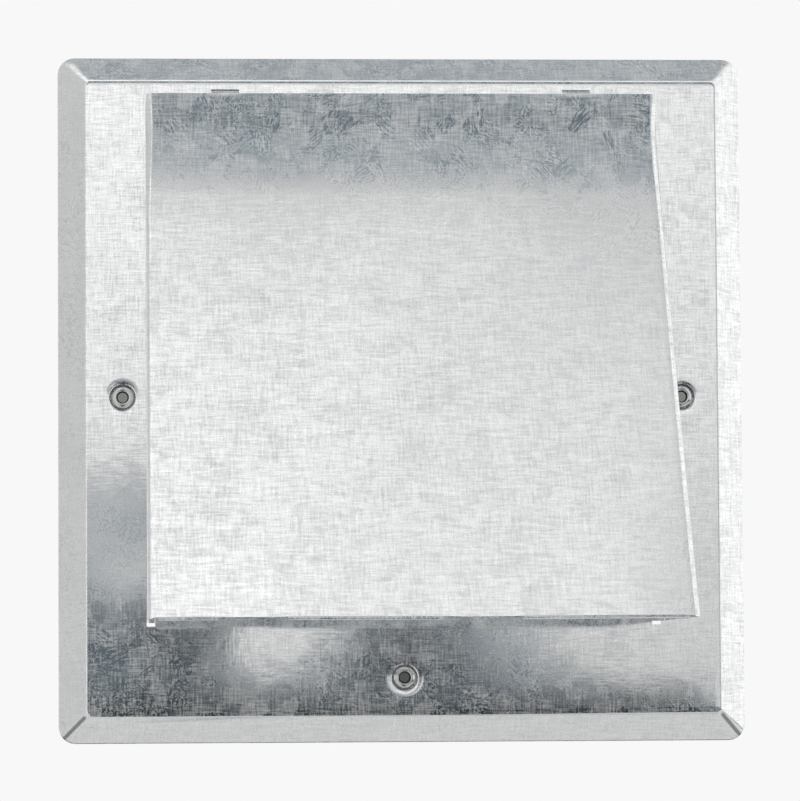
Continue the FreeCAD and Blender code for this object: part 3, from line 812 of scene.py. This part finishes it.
HEAD_RADIUS = 4.1
HEAD_TOP = -12.7
SEAT_Y = -10.6
NECK_RADIUS = 2.6
NECK_END = -8.4
THREAD_CREST = 2.35
THREAD_ROOT = 1.75
THREAD_PITCH = 1.9
THREAD_STEPS = 32
SCREW_POINT = 26.0
TIP_LENGTH = 6.0
HEAD_PROFILE = ((0, -10.9), (1.8, -10.9), (1.95, -11.05), (2.1, -12.3), (2.35, -12.6), (2.6, HEAD_TOP),
                (3.0, -12.68), (3.35, -12.42), (3.7, -12.25), (3.98, -11.95), (HEAD_RADIUS, -11.5),
                (HEAD_RADIUS, -10.85), (3.95, SEAT_Y), (NECK_RADIUS, SEAT_Y), (NECK_RADIUS, NECK_END - 0.2),
                (THREAD_ROOT, NECK_END))
HEAD_STEPS = 48
# Colours of the painted shade on the socket's wall and floor, standing in for the shade inside the recess.
SOCKET_WALL_PAINTED_SHADE = (0.07, 0.07, 0.065, 1)
SOCKET_FLOOR_PAINTED_SHADE = (0.30, 0.30, 0.28, 1)

bm = bmesh.new()
thread_start = NECK_END - 0.1
thread_turns = int((SCREW_POINT - thread_start) / THREAD_PITCH)
thread = []
for i in range(thread_turns):
    y = thread_start + i * THREAD_PITCH
    thread += [(THREAD_ROOT, y), (THREAD_ROOT, y + 0.9), (THREAD_CREST, y + 1.35), (THREAD_CREST, y + 1.5)]
thread.append((THREAD_ROOT, thread_start + thread_turns * THREAD_PITCH))
for x, z in screw_places:
    spin_profile(bm, HEAD_PROFILE, HEAD_STEPS, x, z, closed=False)
    made = [bm.verts.new((x + radius, y - THREAD_PITCH, z)) for radius, y in thread]
    edges = [bm.edges.new(pair) for pair in zip(made, made[1:])]
    before = set(bm.verts) - set(made)
    bmesh.ops.spin(bm, geom=made + edges, cent=(x, 0, z), axis=(0, 1, 0),
                   dvec=(0, THREAD_PITCH / THREAD_STEPS, 0), angle=2 * math.pi, steps=THREAD_STEPS)
    fresh = [v for v in bm.verts if v not in before]
    for vert in fresh:
        y = vert.co.y
        slim = min(1.0, max(0.02, (SCREW_POINT - y) / TIP_LENGTH))
        vert.co = Vector((x + (vert.co.x - x) * slim, max(y, thread_start), z + (vert.co.z - z) * slim))
    bmesh.ops.remove_doubles(bm, verts=fresh, dist=1e-3)
bmesh.ops.recalc_face_normals(bm, faces=bm.faces)


def socket_painted_shade(n, place, colour):
    """Painted shade: darkens the socket's wall and floor, where the deep recess is in shade, by their
    distance from the nearest screw's axis.
    """
    spot = n.add("ShaderNodeSeparateXYZ", {"Vector": place})
    wide, high = (n.math("ABSOLUTE", spot.outputs[i]) for i in (0, 2))
    along = n.math("SUBTRACT", n.math("MAXIMUM", wide, high), SCREW_CIRCLE * 0.001)
    beside = n.math("MINIMUM", wide, high)
    from_axis = n.math("SQRT", n.math("ADD", n.math("POWER", along, 2.0), n.math("POWER", beside, 2.0)))
    colour = n.mix_colour(n.ramp(from_axis, 0.00235, 0.00215), colour, SOCKET_WALL_PAINTED_SHADE)
    return n.mix_colour(n.ramp(from_axis, 0.0019, 0.0017), colour, SOCKET_FLOOR_PAINTED_SHADE)


# The screws' sockets carry painted shade on their wall and floor.
screw_steel = plain_metal("screw steel", (0.70, 0.70, 0.69, 1), (0.84, 0.84, 0.83, 1), 0.16, 500.0, 0.0,
                          painted_shade=socket_painted_shade)
finish_piece(bm, "wall_screws", "plate", screw_steel, ["fixing_screws"])

# Screw retainers. A push-on ring of natural nylon on each screw's neck behind the plate, which keeps the
# screw in its hole until the grille is fixed.

RETAINER_PROFILE = ((2.65, -9.9), (5.2, -9.9), (5.5, -9.7), (5.5, -9.1), (5.2, -8.9), (2.9, -8.9),
                    (2.65, -9.05))
RETAINER_STEPS = 40
NYLON_DARK = (0.80, 0.79, 0.73, 1)
NYLON_PALE = (0.88, 0.87, 0.82, 1)

bm = bmesh.new()
for x, z in screw_places:
    spin_profile(bm, RETAINER_PROFILE, RETAINER_STEPS, x, z)
bmesh.ops.recalc_face_normals(bm, faces=bm.faces)
nylon = bpy.data.materials.new("natural nylon")
n = Nodes(nylon)
place = n.place()
bump = n.add("ShaderNodeBump", {"Strength": 0.2, "Distance": 0.0001, "Height": n.noise(place, 2500.0, 2.0)})
n.surface(n.mix_colour(n.noise(place, 300.0, 2.0), NYLON_DARK, NYLON_PALE), Roughness=0.45,
          Subsurface_Weight=0.1, Normal=bump.outputs[0])
finish_piece(bm, "neck_rings", "plate", nylon, ["screw_retainers"])

# Camera. Where the photograph was taken from: a little left of and below the grille's middle, with a long
# lens, shifted so that the grille stays in the middle of the picture.

CAMERA_PLACE = (-0.0949, -1.3875, -0.1017)
CAMERA_YAW = 2.69
CAMERA_PITCH = 2.97
CAMERA_ROLL = -0.30
CAMERA_LENS = 171.3
CAMERA_SHIFT = 0.1

camera = bpy.data.objects.new("camera", bpy.data.cameras.new("camera"))
bpy.context.scene.collection.objects.link(camera)
bpy.context.scene.camera = camera
camera.data.lens = CAMERA_LENS
camera.data.sensor_width = 36.0
camera.data.shift_x = CAMERA_SHIFT
camera.data.shift_y = CAMERA_SHIFT
camera.data.clip_start = 0.05
camera.data.clip_end = 50.0
yaw, pitch, roll = (math.radians(turn) for turn in (CAMERA_YAW, CAMERA_PITCH, CAMERA_ROLL))
forward = Vector((math.sin(yaw) * math.cos(pitch), math.cos(yaw) * math.cos(pitch), math.sin(pitch)))
right = Vector((math.cos(yaw), -math.sin(yaw), 0))
up = right.cross(forward)
turned_right = right * math.cos(roll) + up * math.sin(roll)
turned_up = up * math.cos(roll) - right * math.sin(roll)
basis = Matrix((turned_right, turned_up, -forward)).transposed().to_4x4()
camera.matrix_world = Matrix.Translation(CAMERA_PLACE) @ basis

# Floor. A plain pale floor well below the grille, which shows only in other views. The zinc doesn't mirror
# it, because the photograph has no floor.

FLOOR_Z = -0.42
FLOOR_SIZE = 1.1

bm = bmesh.new()
bmesh.ops.create_grid(bm, x_segments=1, y_segments=1, size=FLOOR_SIZE,
                      matrix=Matrix.Translation((0, 0, FLOOR_Z)))
mesh = bpy.data.meshes.new("floor")
bm.to_mesh(mesh)
bm.free()
floor = bpy.data.objects.new("floor", mesh)
bpy.context.scene.collection.objects.link(floor)
paint = bpy.data.materials.new("pale floor")
Nodes(paint).surface((0.82, 0.82, 0.82, 1), Roughness=0.8)
mesh.materials.append(paint)
floor.visible_glossy = False

# Studio. Light from all round, given by direction in degrees: a bright wall in front, a dark gap above it
# under a bright ceiling panel, a dimmer left side, a dark stretch to the front right, and the dark of the
# camera's stand and of the floor in front, which the zinc mirrors. The camera sees an even pale background.

FRONT_LEVELS = ((-90, 0.62), (90, 1.0), (-30, 0.70), (-8, 0.71), (1.0, 0.76), (2.5, 0.80), (3.5, 0.89),
                (4.5, 0.94), (5.5, 0.97), (7.3, 1.02), (11.0, 1.06), (14.0, 0.62), (17.0, 0.24), (23.0, 0.20),
                (34.0, 0.22), (41.0, 0.29), (47.7, 0.32), (51.6, 0.35), (55.4, 0.36), (58.0, 0.42),
                (59.4, 0.54), (60.3, 0.67), (61.3, 0.84), (62.3, 1.01), (62.9, 1.04), (63.6, 1.06),
                (64.9, 1.10), (65.7, 1.17), (67.0, 1.28))
AROUND_LEVELS = ((-180, 0.85), (180, 0.85), (-130, 0.75), (-100, 0.57), (-80, 0.57), (-55, 0.60), (-35, 0.64),
                 (-24, 0.9), (-12, 1.02), (-2, 1.0), (6, 0.92), (9, 0.86), (16, 0.84), (23, 0.46), (40, 0.44),
                 (50, 1.0), (70, 1.07), (110, 1.07), (140, 1.0))
LOW_LEVEL = 0.62
UNDER_LEVEL = 0.15
CARD_LEVEL = 0.80
BRINK_LEVEL = 0.04
GLOW_LEVEL = 0.35
STAND_EDGE = 5.30
BACKGROUND_LEVEL = 0.939
DARK_TINT = (0.80, 1.0, 1.14, 1)
LIGHT_TINT = (1.0, 1.0, 0.995, 1)

world = bpy.data.worlds.new("studio")
bpy.context.scene.world = world
n = Nodes(world)
direction = n.add("ShaderNodeTexCoord").outputs["Generated"]
rightward, inward, upward = n.add("ShaderNodeSeparateXYZ", {"Vector": direction}).outputs
elevation = n.product(n.math("ARCSINE", upward), 180 / math.pi)
azimuth = n.product(n.math("ARCTAN2", rightward, n.product(inward, -1.0)), 180 / math.pi)


def level_curve(factor, low, high, points):
    """Brightness by straight steps between (place, brightness) points, of which low and high come first."""
    ramp = n.add("ShaderNodeValToRGB", {"Fac": n.ramp(factor, low, high, smooth=False)})
    places = ramp.color_ramp.elements
    for i, (place, value) in enumerate(points):
        at = (place - low) / (high - low)
        element = places[i] if i < 2 else places.new(at)
        element.position = at
        element.color = (value, value, value, 1)
    return ramp.outputs["Color"]


def between(value, low, high, blur):
    """1 inside the range, falling to 0 over blur at each end."""
    return n.product(n.ramp(value, low - blur, low + blur), n.ramp(value, high + blur, high - blur))


def over(value, start):
    """How far the value is past start."""
    return n.math("MAXIMUM", n.math("SUBTRACT", value, start), 0.0)


front = level_curve(elevation, -90, 90, FRONT_LEVELS)
around = level_curve(azimuth, -180, 180, AROUND_LEVELS)

# The light away from the front: dimmer below, brighter overhead on the room's side than on the wall's, and
# faint from beneath on the wall's side.
broad = n.mix(n.ramp(elevation, -8.0, -40.0), around, LOW_LEVEL)
broad = n.mix(n.ramp(elevation, 45.0, 65.0), broad, n.ramp(inward, -0.10, 0.10, 1.12, 0.36))
under = n.product(n.ramp(elevation, -20.0, -30.0), n.ramp(inward, 0.22, 0.38))
broad = n.mix(under, broad, UNDER_LEVEL)
light = n.mix(between(azimuth, -16.0, 26.0, 5.0), broad, n.product(front, around))
light = n.mix(n.ramp(elevation, 68.0, 78.0), light, broad)

# The dark camera stand, with its slanting right edge and a glow at its top, and the pale card beside it.
below = n.product(elevation, -1.0)
edge = n.math("ADD", STAND_EDGE, n.product(over(below, -0.82), 1.28))
edge = n.math("ADD", edge, n.product(over(below, -0.17), 3.0))
stand = n.product(between(azimuth, -12.0, 400.0, 3.0), n.ramp(n.math("SUBTRACT", azimuth, edge), 1.2, -1.2),
                  n.ramp(elevation, 3.45, 2.75), n.ramp(elevation, -26.0, -20.0))
deep = n.math("ADD", n.ramp(elevation, 1.6, 0.9, 0.35, 0.06), n.ramp(elevation, 0.5, 0.1, 0.0, 0.05))
deep = n.math("ADD", deep, n.ramp(azimuth, 0.1, -0.3, 0.0, 0.06))
glow = n.product(between(azimuth, -0.35, 0.2, 0.3), between(elevation, 1.5, 1.9, 0.35))
light = n.mix(stand, light, n.math("ADD", deep, n.product(glow, GLOW_LEVEL)))
slant = n.math("SUBTRACT", azimuth, n.product(elevation, 0.9))
card = n.product(n.ramp(azimuth, 1.20, 1.65), n.ramp(elevation, -0.25, 0.40), n.ramp(elevation, 2.0, 1.4),
                 n.ramp(slant, 2.85, 1.9))
light = n.mix(card, light, CARD_LEVEL)

# The dark below the camera's height, which the plate's lowest strip and the hood's hem mirror.
brink = n.product(n.ramp(elevation, -0.08, -0.26), n.ramp(elevation, -64.0, -54.0),
                  between(azimuth, -12.0, 8.5, 0.6))
light = n.mix(brink, light, BRINK_LEVEL)
tint = n.mix_colour(n.ramp(light, 0.1, 0.6), DARK_TINT, LIGHT_TINT)

rays = n.add("ShaderNodeLightPath")
light = n.mix(rays.outputs["Is Camera Ray"], light, BACKGROUND_LEVEL)
tint = n.mix_colour(rays.outputs["Is Camera Ray"], tint, (1.0, 1.0, 1.0, 1))
background = n.add("ShaderNodeBackground", {"Color": tint, "Strength": light})
n.add("ShaderNodeOutputWorld", {"Surface": background.outputs[0]})
bpy.context.scene.view_settings.view_transform = "Standard"
